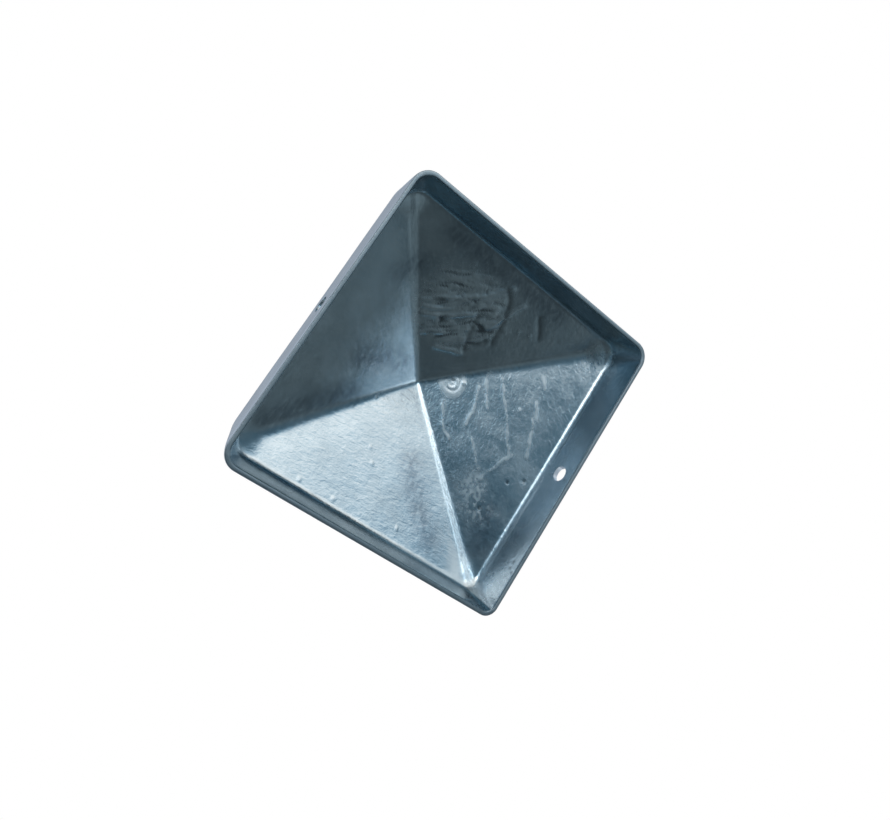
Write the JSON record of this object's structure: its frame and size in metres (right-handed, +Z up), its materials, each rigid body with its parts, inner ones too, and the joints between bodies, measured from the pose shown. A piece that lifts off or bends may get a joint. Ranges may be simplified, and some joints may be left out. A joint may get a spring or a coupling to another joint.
{
  "type": "fence post cap",
  "caption": "Square pressed-steel cap with a pyramid roof that sleeves over the top of a timber post and is nailed through its skirt.",
  "frame": {"origin": "centre of the rim, the open lower edge that rests on a surface", "axes": "+Z up through the apex of the roof, +X through one nail hole, +Y through a plain wall"},
  "size_m": [0.096, 0.096, 0.0358],
  "materials": {
    "galvanised_steel": "batch hot-dip galvanised, dull blue-grey zinc with runs and pimples left as dipped"
  },
  "bodies": {
    "root": {"cap_shell": "galvanised_steel"}
  },
  "joints": []
}
